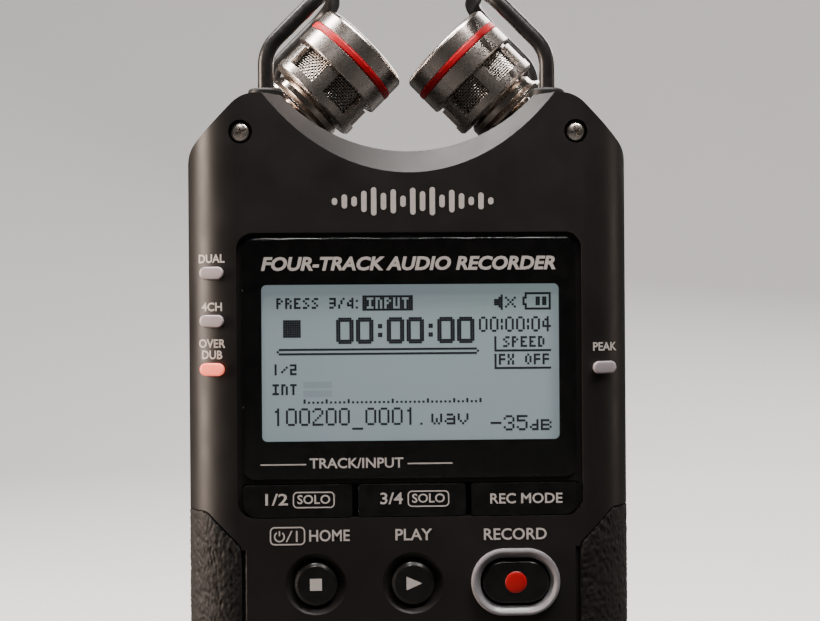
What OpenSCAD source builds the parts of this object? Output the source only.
// Portable field recorder with two swivelling microphones.
// Upright: +Z is the long axis, the front face looks to -Y, origin at the centre of the base.

/* [Body] */
// Width across the sides
body_w = 70; // [70:0.5:72]
// Depth from the front face to the back face
body_d = 34; // [34:0.5:35]
// Height of the shoulders above the base
shoulder_z = 135.5; // [135:0.5:136.5]
// Radius of the long edges
edge_r = 8; // [7.5:0.25:8.5]
// Wall thickness of both shells
wall = 2; // [1.8:0.1:2.1]
// How far each 45 degree shoulder cuts in
shoulder_cut = 9.1; // [8.5:0.1:9.5]
// Radius of the concave cut-out between the microphones
scoop_r = 26.95; // [26.5:0.05:27.2]
// Height of the centre of the concave cut-out
scoop_z = 153.6; // [153.4:0.1:154]

/* [Microphones] */
// Distance of each microphone's pivot from the middle
pivot_x = 22.6; // [22.4:0.1:22.8]
// Height of the pivots
pivot_z = 129.4; // [129:0.1:129.6]
// How far each microphone leans inwards at rest
mic_lean = 45; // [40:1:50]
// Distance from the pivot to the rear face of the microphone
mic_rear = 10; // [9.8:0.1:10.2]
// Radius of the windowed part of the microphone
mic_r = 8.05; // [7.9:0.05:8.1]
// Radius of the front ring of the microphone
mic_ring_r = 8.5; // [8.3:0.05:8.5]
// Number of windows round each microphone
mic_windows = 6; // [5:1:7]
// Width of each post between the windows
mic_post_w = 2.2; // [1.8:0.1:2.6]

/* [Guard bars] */
// Diameter of the bent steel bar
guard_d = 2.5; // [2.3:0.1:2.6]
// Half the distance between the front and rear legs
guard_half_depth = 10.2; // [10.1:0.1:10.4]
// Height of the crossing bar's centre line
guard_top_z = 153.75; // [153.5:0.25:154.5]

/* [Display and keys] */
// Width of the visible part of the display
lcd_w = 46.7; // [46:0.1:48]
// Height of the visible part of the display
lcd_h = 24.6; // [24:0.1:25]
// How far a key travels when it is pressed
key_travel = 0.4; // [0.3:0.05:0.4]
// Gap all round a moving key
key_gap = 0.15; // [0.12:0.01:0.2]
// Radius of the stop and play buttons
button_r = 3.3; // [3.1:0.1:3.5]
// Outer radius of the four-way pad
pad_r = 15.8; // [15:0.1:16]

/* [Hidden] */
$fn = 64;

// Overshoot that keeps cutting shapes clear of the faces they cut
over = 1;
// Gap between pieces that are screwed together side by side
joint_gap = 0.05;
half_w = body_w / 2;
front_y = -body_d / 2;
back_y = body_d / 2;

// The microphone frame sits inside the shells above this height
block_z = 112;
// Front wall behind which the microphone frame sits, thicker than the other walls
block_front_y = front_y + 4;
block_rear_y = back_y - 4;
pocket_r = 11.7;
pocket_half_depth = 7.5;
pocket_floor_drop = 1;
barrel_r = 5.5;
barrel_half_length = 7.3;
barrel_clearance = 0.2;
pin_r = 1.5;
pin_clearance = 0.05;
pin_half_length = 9.2;

// The scoop's front edge is chamfered by a larger cylinder that leans back by 45 degrees
scoop_chamfer_r = 34;
scoop_chamfer_low_z = 123;

// Microphone lengths, measured along its axis from the pivot
mic_window_z = mic_rear + 1.7;
mic_ring_z = mic_window_z + 4.1;
// A narrow groove parts the posts' front ends from the front ring
mic_groove_w = 0.45;
mic_groove_r = mic_r - 0.6;
mic_accent_z = mic_ring_z + 3;
mic_tip_z = mic_accent_z + 1.1;
mic_end = mic_tip_z + 3;

// Bezel recess, window and key row
recess_w = 53.8;
recess_low_z = 69.4;
recess_high_z = 113.7;
recess_depth = 1;
window_w = 52.1;
window_low_z = 75.4;
window_high_z = 112.9;
lcd_z = 93.55;
key_row_z = 72;
key_row_h = 5;
key_row_gap = 0.9;
key_row_w = 52.3;
key_split_a = -8.7;
key_split_b = 8.95;
key_corner_r = 2.4;
key_small_r = 0.5;

// Transport buttons
transport_z = 59.1;
stop_x = -14.9;
play_x = 0.2;
record_x = 16.2;
record_w = 10.4;
record_h = 6.5;
record_ring_inner_w = 11.2;
record_ring_inner_h = 7.3;
record_ring_w = 13.9;
record_ring_h = 10.4;
record_ring_proud = 1;

// Four-way pad and corner keys
pad_z = 29;
pad_inner_r = 6.3;
enter_r = 5.8;
corner_x = 19.5;
corner_dz = 16;
corner_w = 8.4;
corner_h = 4.6;

// Key depths: face, flange behind the wall, plunger tip
key_proud = 0.35;
flange_t = 0.7;
flange_lip = 0.8;
wall_inner_y = front_y + wall;
flange_y = wall_inner_y + 0.05;
plunger_r = 1.5;

// Indicator lamps
lamp_w = 3.9;
lamp_h = 1.95;
lamp_spots = [[-30.8, 107.5], [-30.8, 100.05], [-30.8, 92.55], [30.5, 92.4]];

// Rubber side grips
grip_x = 26.35;
grip_low_z = 9;
grip_side_z = 70.5;
grip_t = 1;
grip_rear_y = -0.6;
grip_slope = 5.5;
grip_corner_r = 2;
// Bevel of the shell along each grip's straight inner edge
grip_bevel = 0.75;

// Board
board_y = -11.2;
board_t = 1.6;
switch_t = 0.5;
plunger_end_y = board_y - switch_t - key_travel - 0.15;
board_half_w = 29.6;
board_low_z = 6;
board_high_z = 110;

// Input jacks in the base
jack_x = 15.6;
jack_y = 3;
jack_r = 11.5;
jack_len = 26;
jack_bore_r = 9.6;
jack_insert_r = 7.9;
jack_depth = 14;
plug_r = 3.2;
latch_travel = 1.2;
latch_w = 5;
latch_len = 8.2;

// Battery bay
cell_r = 7.15;
cell_len = 50.2;
cell_pitch = 14.9;
cell_y = 7.35;
bay_low_z = 41.6;
bay_high_z = 95.4;
bay_half_w = 23;
bay_wall = 1.2;
cover_t = 1.3;
cover_hinge_z = 96.2;
cover_half_w = 23.4;
cover_low_z = 41.8;

// Features of the sides: their common depth, then their heights
side_y = 4.5;
volume_z = 85;
level_z = 88;
hold_z = 66;
input_switch_z = 50;
phones_z = 105;
remote_z = 105;
usb_z = 50;
phones_nose_r = 3.1;
remote_nose_r = 2.6;
slide_half_w = 1.55;
slide_slot_half = 4.2;
rocker_len = 18;
rocker_w = 5.6;
rocker_proud = 0.4;
rocker_pin_depth = 3.4;
rocker_pin_r = 0.9;
rocker_boss_y = rocker_w / 2 + 1;
rocker_pin_half = rocker_boss_y + 0.5;

// Memory card behind the front shell's right wall
card_z = 86.8;
card_y = -6;
card_w = 24;
card_t = 2.1;
card_len = 30;
door_h = 30;
door_t = 1.2;
door_y0 = -9.1;
door_hinge_y = -3.1;

tripod_z = 34.2;
tripod_r = 3.2;
speaker_z = 103.2;
strap_z = 13;

// Colours
case_black = [0.10, 0.09, 0.09];
rubber_black = [0.06, 0.055, 0.05];
gloss_black = [0.02, 0.02, 0.02];
nickel = [0.72, 0.67, 0.63];
steel = [0.60, 0.60, 0.60];

// ---------------------------------------------------------------- helpers

function unit(v) = v / norm(v);
function corner_angle(a, b, c) = acos(unit(a - b) * unit(c - b));
// Point on the edge from b towards a where a rounding of radius r begins
function tangent_point(a, b, c, r) = b + unit(a - b) * r / tan(corner_angle(a, b, c) / 2);
// Centre of the rounding at corner b
function round_centre(a, b, c, r) =
    b + unit(unit(a - b) + unit(c - b)) * r / sin(corner_angle(a, b, c) / 2);

// Convex polygon with every corner rounded to its own radius
module rounded_polygon(points, radii) {
    n = len(points);
    polygon([for (i = [0:n - 1])
        let (a = points[(i + n - 1) % n], b = points[i], c = points[(i + 1) % n])
        each [tangent_point(a, b, c, radii[i]), tangent_point(c, b, a, radii[i])]]);
    for (i = [0:n - 1])
        translate(round_centre(points[(i + n - 1) % n], points[i], points[(i + 1) % n], radii[i]))
            circle(r = radii[i]);
}

// Rectangle of width w and height h about the origin, corners rounded to r
module rounded_rect(w, h, r) {
    square([w - 2 * r, h], center = true);
    square([w, h - 2 * r], center = true);
    for (sx = [-1, 1], sy = [-1, 1])
        translate([sx * (w / 2 - r), sy * (h / 2 - r)]) circle(r = r);
}

// Flat-sided oval lying along x
module stadium(w, h) {
    square([w - h, h], center = true);
    for (s = [-1, 1]) translate([s * (w - h) / 2, 0]) circle(d = h);
}

// A shape drawn in x and z, filled from depth y0 to depth y1
module front_prism(y0, y1) translate([0, y1, 0]) rotate([90, 0, 0]) linear_extrude(y1 - y0) children();

// A shape drawn in y and z, filled from x0 to x1
module side_prism(x0, x1) translate([x0, 0, 0]) rotate([90, 0, 90]) linear_extrude(x1 - x0) children();

// Round bar along y
module bar_y(r, y0, y1) translate([0, y0, 0]) rotate([-90, 0, 0]) cylinder(r = r, h = y1 - y0);

// Round bar along x
module bar_x(r, x0, x1) translate([x0, 0, 0]) rotate([0, 90, 0]) cylinder(r = r, h = x1 - x0);

// Box given by two opposite corners
module block(low, high) translate(low) cube(high - low);

// ---------------------------------------------------------------- body shape

// Front view of the body, pulled in by inset
module body_outline(inset) {
    w = half_w - inset;
    top = shoulder_z - inset;
    cut = shoulder_cut - (2 - sqrt(2)) * inset;
    rounded_polygon(
        [[-w, inset], [w, inset], [w, top - cut], [w - cut, top], [cut - w, top], [-w, top - cut]],
        [5 - inset, 5 - inset, 5.3 - inset, 5.3 - inset, 5.3 - inset, 5.3 - inset]);
}

// View of the body from above, pulled in by inset
module body_section(inset) {
    rounded_rect(body_w - 2 * inset, body_d - 2 * inset, edge_r - inset);
}

module envelope(inset) intersection() {
    front_prism(front_y - over, back_y + over) body_outline(inset);
    translate([0, 0, -over]) linear_extrude(shoulder_z + 2 * over) body_section(inset);
}

// Concave cut-out between the microphones, with its chamfered front edge
module scoop() {
    translate([0, 0, scoop_z]) bar_y(scoop_r, front_y - over, back_y + over);
    translate([0, front_y, scoop_chamfer_low_z]) rotate([-45, 0, 0])
        translate([0, -scoop_chamfer_r, -8]) cylinder(r = scoop_chamfer_r, h = 60, $fn = 96);
}

// Room in which the two microphones' swivels turn
module swivel_pockets() for (s = [-1, 1]) translate([s * pivot_x, 0, pivot_z]) {
    bar_y(barrel_r + barrel_clearance, -pocket_half_depth, pocket_half_depth);
    intersection() {
        bar_y(pocket_r, -pocket_half_depth, pocket_half_depth);
        block([-20, -20, -pocket_floor_drop], [20, 20, 20]);
    }
}

module at_guard_legs(y_signs = [-1, 1]) for (s = [-1, 1], t = y_signs)
    translate([s * (pivot_x - 0.1), t * guard_half_depth, 0]) children();

guard_flange_r = 2.8;
guard_flange_z = shoulder_z - 0.3;
guard_flange_t = 1.7;
guard_foot_z = 132;

// Sockets for the guard bars' feet, in every piece they pass through
module guard_sockets() at_guard_legs() {
    translate([0, 0, guard_flange_z]) cylinder(r = guard_flange_r + joint_gap, h = 5);
    translate([0, 0, guard_foot_z - 0.1]) cylinder(d = guard_d + 2 * joint_gap, h = 8);
}

// ---------------------------------------------------------------- screws

top_screw_x = 26.15;
top_screw_z = pivot_z;
screw_r = 0.9;
screw_head_r = 1.5;
rear_screw_upper = [28, 118.5];
rear_screw_lower = [28.5, 34];
boss_r = 2.4;

module at_top_screws() for (s = [-1, 1]) translate([s * top_screw_x, 0, top_screw_z]) children();
module at_rear_screws(spots) for (s = [-1, 1], p = spots) translate([s * p[0], 0, p[1]]) children();

// Cross-head pan screw along y: head at depth y, shank towards +y when dir is 1
module pan_screw(length, dir) rotate([0, 0, dir > 0 ? 0 : 180]) difference() {
    union() {
        bar_y(screw_head_r, 0, 0.9);
        bar_y(screw_r, 0.8, length);
    }
    for (a = [0, 90]) rotate([0, a, 0]) block([-0.85, -over, -0.2], [0.85, 0.5, 0.2]);
}

// ---------------------------------------------------------------- openings in the front shell

module lamp_holes(extra) for (p = lamp_spots)
    translate([p[0], 0, p[1]]) front_prism(front_y - over, -11.5) stadium(lamp_w + extra, lamp_h + extra);

// Stop and play: a dished recess with a round hole
module button_hole(x) translate([x, 0, transport_z]) {
    bar_y(button_r + key_gap, front_y - over, wall_inner_y + over);
    translate([0, front_y - 0.1, 0]) rotate([-90, 0, 0])
        cylinder(r1 = button_r + 1.6, r2 = button_r + key_gap, h = 1.2);
}

module corner_spots(names) for (i = [0:3])
    if (names[i]) translate([(i % 2 == 0 ? -1 : 1) * corner_x, 0, pad_z + (i < 2 ? 1 : -1) * corner_dz])
        children();

// Front view of a key of the row, from x0 to x1: its two lower corners have their own radii
module key_outline(x0, x1, extra, r_left, r_right) {
    low = key_row_z - key_row_h / 2 - extra;
    high = key_row_z + key_row_h / 2 + extra;
    rounded_polygon([[x0, low], [x1, low], [x1, high], [x0, high]],
        [r_left, r_right, key_small_r, key_small_r]);
}

module front_openings() {
    front_prism(front_y - over, front_y + recess_depth)
        translate([0, (recess_low_z + recess_high_z) / 2])
            rounded_rect(recess_w, recess_high_z - recess_low_z, 2.6);
    front_prism(front_y - over, wall_inner_y + over)
        translate([0, lcd_z]) rounded_rect(lcd_w + 1, lcd_h + 1, 0.8);
    front_prism(front_y - over, wall_inner_y + over)
        key_outline(-key_row_w / 2 - key_gap, key_row_w / 2 + key_gap, key_gap, key_corner_r, key_corner_r);
    button_hole(stop_x);
    button_hole(play_x);
    front_prism(front_y - over, wall_inner_y + over) translate([record_x, transport_z])
        stadium(record_ring_w + 0.1, record_ring_h + 0.1);
    translate([0, 0, pad_z]) bar_y(pad_r + key_gap, front_y - over, wall_inner_y + over);
    translate([0, front_y - 0.1, pad_z]) rotate([-90, 0, 0])
        cylinder(r1 = pad_r + 1, r2 = pad_r + key_gap, h = 0.7);
    corner_spots([true, true, true, true]) front_prism(front_y - over, wall_inner_y + over)
        stadium(corner_w + 2 * key_gap, corner_h + 2 * key_gap);
    lamp_holes(0.1);
}

// Region covered by the right-hand grip, seen from the front
module grip_outline(extra) rounded_polygon([
    [grip_x - extra, grip_low_z + grip_slope - extra], [grip_x + grip_slope - extra / 2, grip_low_z - extra],
    [half_w + 2, grip_low_z - extra], [half_w + 2, grip_side_z + extra],
    [grip_x + grip_slope - extra / 2, grip_side_z + extra],
    [grip_x - extra, grip_side_z - grip_slope + extra]],
    [grip_corner_r, grip_corner_r, 1, 1, grip_corner_r, grip_corner_r]);

// The skin of the right-hand side that the grip replaces
module grip_skin(extra) intersection() {
    difference() {
        envelope(0);
        envelope(grip_t);
    }
    front_prism(front_y - over, grip_rear_y + extra) grip_outline(extra);
}

module grip_recess() for (m = [0, 1]) mirror([m, 0, 0]) {
    difference() {
        front_prism(front_y - over, grip_rear_y + joint_gap) grip_outline(joint_gap);
        envelope(grip_t);
    }
    translate([0, 0, grip_low_z + grip_slope + 0.5])
        linear_extrude(grip_side_z - grip_low_z - 2 * grip_slope - 1)
            polygon([[grip_x - grip_bevel - over, front_y - over], [grip_x + 0.2, front_y - over],
                     [grip_x + 0.2, front_y + grip_bevel + 0.2]]);
}

// ---------------------------------------------------------------- openings in the sides and base

module jack_holes() for (s = [-1, 1])
    translate([s * jack_x, jack_y, -over]) cylinder(r = jack_r + 0.1, h = wall + 2 * over);

module door_recess() block([half_w - door_t - 0.05, door_y0 - 0.1, card_z - door_h / 2 - 0.1],
    [half_w + over, door_hinge_y + door_t / 2 + 0.1, card_z + door_h / 2 + 0.1]);

module card_slot(extra) block([half_w - 6, card_y - card_t / 2 - extra, card_z - card_w / 2 - extra],
    [half_w + over, card_y + card_t / 2 + extra, card_z + card_w / 2 + extra]);

// ---------------------------------------------------------------- shells

// Hollow shared by both shells: the main cavity and the room for the microphone frame
module shell_cavity() {
    intersection() {
        envelope(wall);
        block([-50, -50, 0], [50, 50, block_z]);
    }
    intersection() {
        envelope(wall);
        block([-50, block_front_y, block_z - over], [50, block_rear_y, 200]);
    }
}

module front_case() color(case_black) difference() {
    union() {
        difference() {
            intersection() {
                envelope(0);
                block([-50, -50, -over], [50, -joint_gap / 2, 200]);
            }
            shell_cavity();
            scoop();
        }
        at_rear_screws([rear_screw_lower]) bar_y(boss_r, wall_inner_y - 0.2, -joint_gap / 2);
    }
    swivel_pockets();
    guard_sockets();
    front_openings();
    grip_recess();
    jack_holes();
    door_recess();
    card_slot(0.3);
    at_top_screws() {
        bar_y(screw_head_r + 0.35, front_y - over, front_y + 1);
        bar_y(screw_r + 0.2, front_y - over, block_front_y + over);
    }
    at_rear_screws([rear_screw_lower]) bar_y(screw_r + joint_gap, -10, over);
}

// Block in the wall of one side, from depth_out to depth_in below the skin; side -1 is left
module side_block(side, depth_out, depth_in, y, z) block(
    [side > 0 ? half_w - depth_in : -half_w + depth_out, y[0], z[0]],
    [side > 0 ? half_w - depth_out : -half_w + depth_in, y[1], z[1]]);

// Round bar along x in the wall of one side, from depth_out to depth_in below the skin
module side_bar(side, r, depth_out, depth_in) bar_x(r,
    side > 0 ? half_w - depth_in : -half_w + depth_out,
    side > 0 ? half_w - depth_out : -half_w + depth_in);

// Bosses that carry a rocker's pivot pin inside the rear shell
module rocker_bosses(side, z) difference() {
    for (t = [-1, 1]) translate([0, side_y + t * rocker_boss_y, z])
        side_block(side, 1, rocker_pin_depth + 2, [-0.6, 0.6], [-2, 2]);
    translate([side * (half_w - rocker_pin_depth), side_y, z])
        bar_y(rocker_pin_r + pin_clearance, -rocker_pin_half - over, rocker_pin_half + over);
}

module battery_bay_walls() difference() {
    block([-bay_half_w - bay_wall, -1.4, bay_low_z - bay_wall],
          [bay_half_w + bay_wall, 15.2, bay_high_z + bay_wall]);
    block([-bay_half_w, -0.1, bay_low_z], [bay_half_w, 16, bay_high_z]);
}

// Recess and opening for the battery cover
module cover_opening() {
    block([-cover_half_w - 0.15, back_y - cover_t - 0.05, cover_low_z - 0.15],
          [cover_half_w + 0.15, back_y + over, cover_hinge_z + 0.95]);
    block([-bay_half_w + 0.7, 12, bay_low_z + 1], [bay_half_w - 0.7, back_y, bay_high_z - 1]);
}

module strap_corner_block() intersection() {
    envelope(0.5);
    block([-half_w, 5.5, strap_z - 8], [-half_w + 7.9, back_y, strap_z + 8]);
}

module strap_pocket() block(
    [-half_w - over, 8.6, strap_z - 5],
    [-half_w + 6.2, back_y + over, strap_z + 5]);

// Opening through one side wall, half_y and half_z each way from a feature at height z
module side_opening(side, z, half_y, half_z)
    side_block(side, -over, wall + over, [side_y - half_y, side_y + half_y], [z - half_z, z + half_z]);

module speaker_slot(x, half_len)
    block([x - 0.5, 14, speaker_z - half_len], [x + 0.5, back_y + over, speaker_z + half_len]);

module rear_openings() {
    jack_holes();
    cover_opening();
    side_opening(-1, volume_z, rocker_w / 2 + 0.15, rocker_len / 2 + 0.25);
    side_opening(1, level_z, rocker_w / 2 + 0.15, rocker_len / 2 + 0.25);
    side_opening(-1, hold_z, slide_half_w + 0.15, slide_slot_half);
    side_opening(-1, input_switch_z, slide_half_w + 0.15, slide_slot_half);
    side_opening(1, usb_z, 4.1, 1.7);
    translate([0, side_y, phones_z]) side_bar(-1, phones_nose_r + 0.1, -over, wall + over);
    translate([0, side_y, remote_z]) side_bar(1, remote_nose_r + 0.1, -over, wall + over);
    for (i = [-2:2]) speaker_slot(i * 2.4, 4.5 - abs(i) * 0.7);
}

module rear_case() color(case_black) difference() {
    union() {
        difference() {
            intersection() {
                envelope(0);
                block([-50, joint_gap / 2, -over], [50, 50, 200]);
            }
            shell_cavity();
            scoop();
        }
        battery_bay_walls();
        at_rear_screws([rear_screw_lower]) bar_y(boss_r, joint_gap / 2, back_y - 1);
        translate([0, 0, tripod_z]) bar_y(5.8, 8, back_y - 1);
        rocker_bosses(-1, volume_z);
        rocker_bosses(1, level_z);
        strap_corner_block();
    }
    swivel_pockets();
    guard_sockets();
    rear_openings();
    strap_pocket();
    translate([-half_w + 3.7, 12.4, strap_z]) cylinder(r = 1, h = 14, center = true);
    translate([0, 0, tripod_z]) bar_y(4.6, 7, back_y + over);
    at_rear_screws([rear_screw_lower, rear_screw_upper]) {
        bar_y(screw_head_r + 0.35, back_y - 1.1, back_y + over);
        bar_y(screw_r + 0.2, -over, back_y + over);
    }
}

// Frame between the shells that carries both microphones
module mic_block() color([0.07, 0.065, 0.06]) difference() {
    intersection() {
        envelope(wall + joint_gap);
        block([-50, block_front_y + joint_gap, block_z], [50, block_rear_y - joint_gap, 200]);
    }
    scoop();
    swivel_pockets();
    guard_sockets();
    block([-14.5, -9.5, block_z - over], [14.5, 9.5, block_z + 9.5]);
    for (s = [-1, 1]) translate([s * pivot_x, 0, pivot_z]) bar_y(pin_r, -pin_half_length, pin_half_length);
    at_top_screws() bar_y(screw_r + joint_gap, block_front_y - over, -8.5);
    at_rear_screws([rear_screw_upper]) bar_y(screw_r + joint_gap, 8.5, block_rear_y + over);
}

// ---------------------------------------------------------------- guard bars

guard_bend_r = 6;
guard_corner_r = 5;
guard_bend_z = 143.2;
guard_tangent = guard_bend_r * tan(mic_lean / 2);
guard_slope_len = (guard_top_z - guard_bend_z) / cos(mic_lean);
// A bead at every corner of the bar; each straight stops just short of the corner, inside its bead
guard_bead = 0.04;
guard_stop_short = 0.05;

// Point on the slope, at distance d from where the leg and the slope would meet
function on_slope(d, y) = [-d * sin(mic_lean), y, guard_bend_z + d * cos(mic_lean)];

// Centre line of the front half of the right-hand bar, from its foot to the crossing bar
function guard_path() = concat(
    [[0, -guard_half_depth, guard_foot_z]],
    [for (t = [0:mic_lean / 2:mic_lean])
        [guard_bend_r * (cos(t) - 1), -guard_half_depth,
         guard_bend_z - guard_tangent + guard_bend_r * sin(t)]],
    [for (t = [0:30:90])
        on_slope(guard_slope_len - guard_corner_r * (1 - sin(t)),
                 guard_corner_r * (1 - cos(t)) - guard_half_depth)]);

// Round bar through a list of points
module bent_bar(points, r) {
    last = len(points) - 1;
    for (i = [0:last - 1]) {
        along = unit(points[i + 1] - points[i]);
        translate(points[i] + along * guard_stop_short)
            rotate([0, acos(along[2]), atan2(along[1], along[0])])
                cylinder(r = r, h = norm(points[i + 1] - points[i]) - 2 * guard_stop_short);
    }
    for (i = [1:last - 1]) translate(points[i]) sphere(r = r + guard_bead);
}

module guard_bar() translate([pivot_x - 0.1, 0, 0]) {
    front = guard_path();
    rear = [for (i = [len(front) - 1:-1:0]) [front[i][0], -front[i][1], front[i][2]]];
    bent_bar(concat(front, rear), guard_d / 2);
    for (t = [-1, 1]) translate([0, t * guard_half_depth, guard_flange_z])
        cylinder(r = guard_flange_r, h = guard_flange_t);
}

module guard_left() color([0.25, 0.24, 0.24]) mirror([1, 0, 0]) guard_bar();
module guard_right() color([0.25, 0.24, 0.24]) guard_bar();

// ---------------------------------------------------------------- microphones, along +Z from the pivot

// Puts a microphone piece on its pivot, leaning inwards: side -1 is left, 1 is right
module on_pivot(side) translate([side * pivot_x, 0, pivot_z]) rotate([0, -side * mic_lean, 0]) children();

module mic_swivel() color(nickel) difference() {
    union() {
        bar_y(barrel_r, -barrel_half_length, barrel_half_length);
        rotate_extrude() polygon([
            [0, 2], [4.2, 2], [4.2, 6.4], [6.9, 6.9], [7.2, 7.1], [7.2, 7.5], [6.7, 7.8], [6.3, 8.3],
            [6.3, 9.2], [5.9, 9.8], [4.9, 9.8], [4.9, mic_rear + 1.2], [0, mic_rear + 1.2]]);
    }
    bar_y(pin_r + pin_clearance, -10, 10);
}

module mic_body() color(nickel) difference() {
    rotate_extrude() polygon([
        [4.95, mic_rear], [mic_r - 0.4, mic_rear], [mic_r, mic_rear + 0.4],
        [mic_r, mic_ring_z - mic_groove_w],
        [mic_groove_r, mic_ring_z - mic_groove_w], [mic_groove_r, mic_ring_z],
        [mic_ring_r - 0.2, mic_ring_z], [mic_ring_r, mic_ring_z + 0.2],
        [mic_ring_r, mic_accent_z - 0.15], [mic_ring_r - 0.15, mic_accent_z], [7, mic_accent_z], [7, mic_window_z - 0.2],
        [4.95, mic_window_z - 0.2]]);
    for (i = [0:mic_windows - 1]) rotate([0, 0, i * 360 / mic_windows]) intersection() {
        block([0, -9, mic_window_z], [12, 9, mic_ring_z]);
        mic_window_wedge();
    }
}

// Wedge between two neighbouring posts, seen along the microphone's axis
module mic_window_wedge() {
    pitch = 360 / mic_windows;
    half_angle = (pitch - mic_post_w / mic_r * 180 / PI) / 2;
    reach = 12;
    spread = reach * tan(half_angle);
    translate([0, 0, mic_rear]) linear_extrude(mic_end)
        polygon([[0, 0], [reach, -spread], [reach, spread]]);
}

module mic_mesh() color([0.45, 0.43, 0.40]) {
    rotate_extrude() polygon([
        [6.6, mic_window_z], [6.9, mic_window_z], [6.9, mic_ring_z + 0.2], [6.6, mic_ring_z + 0.2]]);
    translate([0, 0, mic_end - 1]) cylinder(r = 6.45, h = 0.3);
}

module accent_ring() color([0.78, 0.13, 0.12]) rotate_extrude() polygon([
    [6.95, mic_accent_z], [mic_ring_r - 0.05, mic_accent_z], [mic_ring_r + 0.06, mic_accent_z + 0.15],
    [mic_ring_r + 0.06, mic_tip_z - 0.15], [mic_ring_r - 0.05, mic_tip_z], [6.95, mic_tip_z]]);

module mic_tip() color(nickel) rotate_extrude() polygon([
    [6.3, mic_ring_z + 0.3], [6.9, mic_ring_z + 0.3], [6.9, mic_tip_z], [mic_ring_r - 0.15, mic_tip_z],
    [mic_ring_r - 0.05, mic_tip_z + 0.2], [mic_ring_r - 0.1, mic_end - 1.2], [mic_ring_r - 0.3, mic_end - 0.5],
    [mic_ring_r - 0.8, mic_end], [6.1, mic_end], [6.1, mic_end - 0.65], [6.5, mic_end - 0.65],
    [6.5, mic_end - 1.05], [6.3, mic_end - 1.05]]);

module capsule() color([0.3, 0.3, 0.3]) difference() {
    rotate_extrude() polygon([
        [0, mic_rear + 2.2], [4.4, mic_rear + 2.2], [4.9, mic_rear + 2.7], [4.9, mic_ring_z + 1.2],
        [6.25, mic_ring_z + 1.2], [6.25, mic_ring_z + 2.6], [4.9, mic_ring_z + 2.6],
        [4.9, mic_end - 1.6], [0, mic_end - 1.6]]);
    for (i = [0:4]) rotate([0, 0, i * 72]) translate([2.6, 0, mic_end - 2.1])
        linear_extrude(2) square([1.6, 0.8], center = true);
}

module swivel_left() on_pivot(-1) mic_swivel();
module swivel_right() on_pivot(1) mic_swivel();
module mic_body_left() on_pivot(-1) mic_body();
module mic_body_right() on_pivot(1) mic_body();
module mic_mesh_left() on_pivot(-1) mic_mesh();
module mic_mesh_right() on_pivot(1) mic_mesh();
module accent_ring_left() on_pivot(-1) accent_ring();
module accent_ring_right() on_pivot(1) accent_ring();
module mic_tip_left() on_pivot(-1) mic_tip();
module mic_tip_right() on_pivot(1) mic_tip();
module capsule_left() on_pivot(-1) capsule();
module capsule_right() on_pivot(1) capsule();

module hinge_pins() color(steel) for (s = [-1, 1])
    translate([s * pivot_x, 0, pivot_z]) bar_y(pin_r, 0.1 - pin_half_length, pin_half_length - 0.1);

module top_screws() color(nickel) at_top_screws() translate([0, front_y + 0.1, 0]) pan_screw(7.6, 1);

module rear_screws() color(steel) {
    at_rear_screws([rear_screw_upper]) translate([0, back_y - 0.2, 0]) pan_screw(8, -1);
    at_rear_screws([rear_screw_lower]) translate([0, back_y - 0.2, 0]) pan_screw(23, -1);
}

// ---------------------------------------------------------------- display and keys

module display_window() color(gloss_black)
    front_prism(front_y + 0.1, front_y + recess_depth)
        translate([0, (window_low_z + window_high_z) / 2])
            rounded_rect(window_w, window_high_z - window_low_z, 2);

module lcd_module() color([0.53, 0.59, 0.60]) {
    front_prism(flange_y, flange_y + 1.2) translate([0, lcd_z]) square([50.5, 29], center = true);
    front_prism(flange_y + 1.2, -11.3) translate([0, lcd_z]) square([53, 31], center = true);
}

// Plunger that presses the switch on the board
module plunger() bar_y(plunger_r, flange_y + flange_t - 0.1, plunger_end_y);

// One key of the row, from x0 to x1
module row_key(x0, x1, r_left, r_right) color(gloss_black) {
    mid = (x0 + x1) / 2;
    front_prism(front_y + 0.05, flange_y + 0.1) key_outline(x0, x1, 0, r_left, r_right);
    front_prism(flange_y, flange_y + flange_t) translate([mid, key_row_z])
        square([x1 - x0, key_row_h + 2 * flange_lip], center = true);
    translate([mid, 0, key_row_z]) plunger();
}

key_edges = [-key_row_w / 2, key_split_a - key_row_gap / 2, key_split_a + key_row_gap / 2,
    key_split_b - key_row_gap / 2, key_split_b + key_row_gap / 2, key_row_w / 2];
module track_key_a() row_key(key_edges[0], key_edges[1], key_corner_r, key_small_r);
module track_key_b() row_key(key_edges[2], key_edges[3], key_small_r, key_small_r);
module mode_key() row_key(key_edges[4], key_edges[5], key_small_r, key_corner_r);

// Round button with a slightly domed face
module round_button(x) translate([x, 0, transport_z]) {
    bar_y(button_r, front_y, flange_y + 0.1);
    translate([0, front_y + 0.01, 0]) rotate([90, 0, 0])
        cylinder(r1 = button_r, r2 = button_r - 0.5, h = 0.35);
    bar_y(button_r + flange_lip, flange_y, flange_y + flange_t);
    plunger();
}

module stop_button() color(gloss_black) round_button(stop_x);
module play_button() color(gloss_black) round_button(play_x);

module record_button() color(gloss_black) translate([record_x, 0, transport_z]) {
    front_prism(front_y - 0.6, wall_inner_y + 1) stadium(record_w, record_h);
    front_prism(wall_inner_y + 0.85, wall_inner_y + 1.5) stadium(record_w + 1.6, record_h + 1.6);
    plunger();
}

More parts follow.
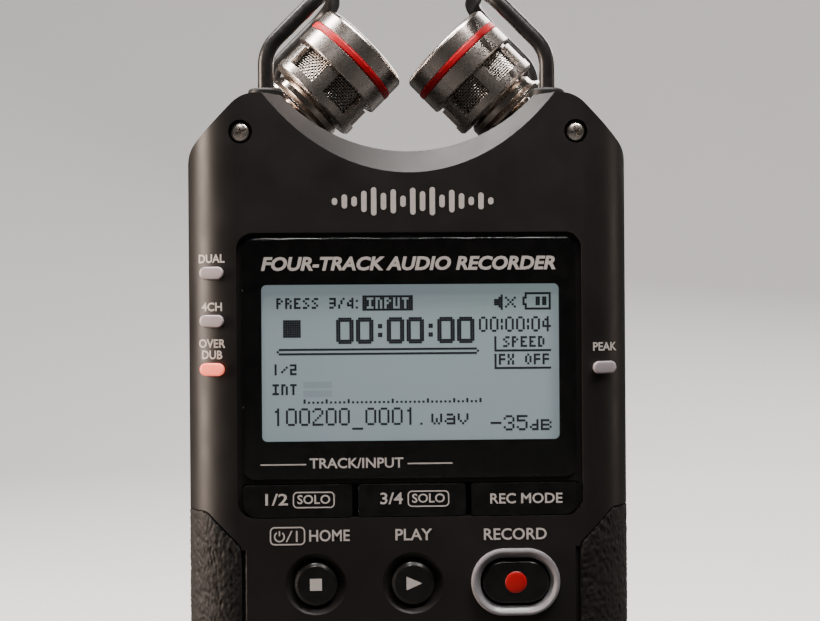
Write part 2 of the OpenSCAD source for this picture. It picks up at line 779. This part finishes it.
// Translucent ring that glows round the record button
module record_ring() color([0.55, 0.53, 0.54]) translate([record_x, 0, transport_z]) difference() {
    union() {
        front_prism(front_y - record_ring_proud, wall_inner_y + 0.1) stadium(record_ring_w, record_ring_h);
        front_prism(flange_y, flange_y + 0.7) stadium(record_ring_w + 1.4, record_ring_h + 1.4);
    }
    front_prism(front_y - 3, wall_inner_y + 3) stadium(record_ring_inner_w, record_ring_inner_h);
}

module indicator_lenses() color([0.66, 0.61, 0.60]) for (p = lamp_spots)
    translate([p[0], 0, p[1]]) intersection() {
        front_prism(front_y - over, -12) stadium(lamp_w, lamp_h);
        translate([-p[0], 0, -p[1]]) translate([0, -0.2, 0]) envelope(0);
    }

// One arc of the four-way pad, turned to its direction by angle
module pad_arc(angle) translate([0, 0, pad_z]) rotate([0, angle, 0]) intersection() {
    difference() {
        union() {
            bar_y(pad_r, front_y - key_proud, flange_y + 0.1);
            bar_y(pad_r + flange_lip + 0.2, flange_y, flange_y + flange_t);
        }
        bar_y(pad_inner_r, front_y - over, 0);
    }
    front_prism(front_y - over, 0) polygon([[0, 0.6], [20, 20.6], [-20, 20.6]]);
}

// A whole pad key: its arc and the plunger under it
module pad_key(angle) color(gloss_black) {
    pad_arc(angle);
    translate([0, 0, pad_z]) rotate([0, angle, 0]) translate([0, 0, 11]) plunger();
}

module nav_up() pad_key(0);
module nav_right() pad_key(90);
module nav_down() pad_key(180);
module nav_left() pad_key(270);

module enter_button() color(gloss_black) translate([0, 0, pad_z]) {
    bar_y(enter_r, front_y - key_proud, flange_y + 1.3);
    bar_y(enter_r + 1.2, flange_y + 1.2, flange_y + 1.8);
    bar_y(plunger_r, flange_y + 1.7, plunger_end_y);
}

module corner_key(names) color(gloss_black) corner_spots(names) {
    front_prism(front_y - key_proud, flange_y + 0.1) stadium(corner_w, corner_h);
    front_prism(flange_y, flange_y + flange_t)
        stadium(corner_w + 2 * flange_lip, corner_h + 2 * flange_lip);
    plunger();
}

module menu_key() corner_key([true, false, false, false]);
module quick_key() corner_key([false, true, false, false]);
module mixer_key() corner_key([false, false, true, false]);
module playback_key() corner_key([false, false, false, true]);

module grip_right() color(rubber_black) grip_skin(0);
module grip_left() color(rubber_black) mirror([1, 0, 0]) grip_skin(0);

// ---------------------------------------------------------------- inside

key_plungers = [[(key_edges[0] + key_edges[1]) / 2, key_row_z],
    [(key_edges[2] + key_edges[3]) / 2, key_row_z], [(key_edges[4] + key_edges[5]) / 2, key_row_z],
    [stop_x, transport_z],
    [play_x, transport_z], [record_x, transport_z], [0, pad_z + 11], [0, pad_z - 11], [-11, pad_z],
    [11, pad_z], [0, pad_z], [-corner_x, pad_z + corner_dz], [corner_x, pad_z + corner_dz],
    [-corner_x, pad_z - corner_dz], [corner_x, pad_z - corner_dz]];

module main_board() color([0.08, 0.30, 0.16]) difference() {
    union() {
        front_prism(board_y, board_y + board_t) translate([0, (board_low_z + board_high_z) / 2])
            rounded_rect(2 * board_half_w, board_high_z - board_low_z, 2);
        for (p = key_plungers) translate([p[0], 0, p[1]]) bar_y(2.2, board_y - switch_t, board_y + 0.1);
        block([-12, board_y + board_t - 0.1, 52], [0, board_y + board_t + 1.2, 64]);
        block([6, board_y + board_t - 0.1, 56], [13, board_y + board_t + 1, 63]);
    }
    at_rear_screws([rear_screw_lower]) bar_y(boss_r + 0.3, -20, 0);
}

// Combined plug input: outer ring, insert with three contact holes and a centre hole
module input_jack() difference() {
    union() {
        difference() {
            cylinder(r = jack_r, h = jack_len);
            translate([0, 0, -over]) cylinder(r = jack_bore_r, h = jack_depth + over);
        }
        translate([0, 0, 1]) cylinder(r = jack_insert_r, h = jack_depth);
    }
    translate([0, 0, -over]) cylinder(r = plug_r, h = jack_depth + 8);
    for (a = [30, 150, 270]) rotate([0, 0, a]) translate([5.5, 0, -over]) cylinder(r = 1.3, h = 10);
    block([-latch_w / 2 - 0.15, -jack_r - over, -over],
          [latch_w / 2 + 0.15, -jack_bore_r + 0.5, latch_len + latch_travel + 0.6]);
}

module input_jacks() color([0.13, 0.13, 0.13]) for (s = [-1, 1])
    translate([s * jack_x, jack_y, 0.3]) input_jack();

// Release tab of one input jack; it is pressed up into the body
module jack_latch(side) color(steel) translate([side * jack_x, jack_y, 0.3])
    block([-latch_w / 2, -jack_r + 0.35, 0.1], [latch_w / 2, -jack_bore_r - 0.1, latch_len]);

module latch_left() jack_latch(-1);
module latch_right() jack_latch(1);

module batteries() color([0.75, 0.60, 0.25]) for (i = [-1:1])
    translate([i * cell_pitch, cell_y, (bay_low_z + bay_high_z) / 2]) rotate([i == 0 ? 180 : 0, 0, 0]) {
        translate([0, 0, -cell_len / 2]) cylinder(r = cell_r, h = cell_len - 1.2);
        translate([0, 0, cell_len / 2 - 1.3]) cylinder(r = 2.7, h = 1.3);
    }

// Sprung plates at the ends of the battery bay
module battery_contacts() color(steel) for (i = [-1:1], e = [0, 1])
    translate([i * cell_pitch, cell_y, e == 0 ? bay_low_z : bay_high_z]) mirror([0, 0, e]) {
        block([-5, -5, 0.02], [5, 5, 0.5]);
        if ((i == 0) == (e == 1)) translate([0, 0, 0.4]) cylinder(r1 = 3.4, r2 = 2.2, h = 1.2);
        else translate([0, 0, 0.4]) cylinder(r = 1.6, h = 1.2);
    }

// Cover that swings open about its rounded upper edge
module battery_cover() color(case_black) difference() {
    union() {
        block([-cover_half_w, back_y - cover_t, cover_low_z], [cover_half_w, back_y, cover_hinge_z]);
        translate([0, back_y - cover_t / 2, cover_hinge_z]) bar_x(cover_t / 2, -cover_half_w, cover_half_w);
    }
    for (i = [0:4]) translate([0, 0, cover_low_z + 4.2 + i * 1.6])
        block([-6 + i * 0.6, back_y - 0.5, 0], [6 - i * 0.6, back_y + over, 0.8]);
}

module card_socket() color([0.55, 0.55, 0.52]) difference() {
    block([0, board_y + board_t + 0.05, card_z - 13.6], [half_w - 5, card_y + 1.7, card_z + 13.6]);
    block([2, card_y - card_t / 2 - 0.15, card_z - card_w / 2 - 0.2],
          [half_w, card_y + card_t / 2 + 0.15, card_z + card_w / 2 + 0.2]);
}

module memory_card() color([0.10, 0.14, 0.32])
    translate([half_w - door_t - 0.6 - card_len, card_y + card_t / 2, card_z]) rotate([90, 0, 0])
        linear_extrude(card_t) polygon([[0, -card_w / 2], [card_len, -card_w / 2], [card_len, card_w / 2],
            [4, card_w / 2], [0, card_w / 2 - 4]]);

// Thin door over the card slot; its rear edge is the rounded hinge
module card_door() color(rubber_black) {
    block([half_w - door_t, door_y0, card_z - door_h / 2], [half_w, door_hinge_y, card_z + door_h / 2]);
    translate([half_w - door_t / 2, door_hinge_y, card_z - door_h / 2]) cylinder(d = door_t, h = door_h);
}

// A small round jack whose body stands on the board; side -1 is left
module round_jack(side, z, nose_r, bore_r) translate([0, 0, z]) difference() {
    union() {
        side_block(side, wall + 0.2, 13, [board_y + board_t + 0.05, side_y + 3.4], [-3.4, 3.4]);
        translate([0, side_y, 0]) side_bar(side, nose_r, 0.2, 3);
    }
    translate([0, side_y, 0]) side_bar(side, bore_r, -over, 12);
}

module small_jacks() color([0.12, 0.12, 0.12]) {
    round_jack(-1, phones_z, phones_nose_r, 1.8);
    round_jack(1, remote_z, remote_nose_r, 1.3);
}

module usb_port() color(steel) translate([0, side_y, usb_z]) difference() {
    block([half_w - 7, -3.8, -1.45], [half_w - 0.3, 3.8, 1.45]);
    block([half_w - 6.4, -3.5, -1.15], [half_w + over, 3.5, 1.15]);
}

// Rocker bar on a pivot pin; side -1 is left
module rocker(side, z) color(gloss_black) translate([0, side_y, z]) {
    side_prism(side > 0 ? half_w - 1.6 : -half_w - rocker_proud,
               side > 0 ? half_w + rocker_proud : 1.6 - half_w)
        rounded_rect(rocker_w, rocker_len, 1.4);
    side_block(side, 1.5, rocker_pin_depth + 1.2, [0.3 - rocker_w / 2, rocker_w / 2 - 0.3], [-2, 2]);
    translate([side * (half_w - rocker_pin_depth), 0, 0])
        bar_y(rocker_pin_r, -rocker_pin_half, rocker_pin_half);
}

module volume_rocker() rocker(-1, volume_z);
module level_rocker() rocker(1, level_z);

// Sliding thumb knob in the left wall, centred at height z
module slide_knob(z) color([0.15, 0.15, 0.15]) translate([0, side_y, z]) difference() {
    union() {
        block([-half_w - 0.3, -slide_half_w, -2], [-half_w + wall + 0.1, slide_half_w, 2]);
        block([-half_w + wall + 0.05, -2.6, -2.2], [-half_w + wall + 0.9, 2.6, 2.2]);
    }
    for (i = [-1:1]) block([-half_w - over, -2, i * 1.1 - 0.25], [-half_w, 2, i * 1.1 + 0.25]);
}

module hold_switch() slide_knob(hold_z - 2);
module input_switch() slide_knob(input_switch_z);

module speaker() color([0.2, 0.2, 0.2]) translate([0, 0, speaker_z]) difference() {
    union() {
        bar_y(6.3, 12.8, 14.9);
        bar_y(4.5, 10.6, 12.9);
    }
    translate([0, 13.6, 0]) rotate([-90, 0, 0]) cylinder(r1 = 2, r2 = 5.4, h = 1.4);
}

module tripod_insert() color([0.75, 0.62, 0.30]) translate([0, 0, tripod_z]) difference() {
    bar_y(4.55, 8.2, back_y - 0.1);
    bar_y(tripod_r, 7, back_y + over);
}

module strap_bar() color(steel)
    translate([-half_w + 3.7, 12.4, strap_z]) cylinder(r = 0.98, h = 13.6, center = true);

front_case();
rear_case();
mic_block();
guard_left();
guard_right();
swivel_left();
swivel_right();
mic_body_left();
mic_body_right();
mic_mesh_left();
mic_mesh_right();
accent_ring_left();
accent_ring_right();
mic_tip_left();
mic_tip_right();
capsule_left();
capsule_right();
hinge_pins();
top_screws();
rear_screws();
display_window();
lcd_module();
track_key_a();
track_key_b();
mode_key();
stop_button();
play_button();
record_button();
record_ring();
indicator_lenses();
nav_up();
nav_down();
nav_left();
nav_right();
enter_button();
menu_key();
quick_key();
mixer_key();
playback_key();
grip_left();
grip_right();
main_board();
input_jacks();
latch_left();
latch_right();
batteries();
battery_contacts();
battery_cover();
card_socket();
memory_card();
card_door();
small_jacks();
usb_port();
volume_rocker();
level_rocker();
hold_switch();
input_switch();
speaker();
tripod_insert();
strap_bar();
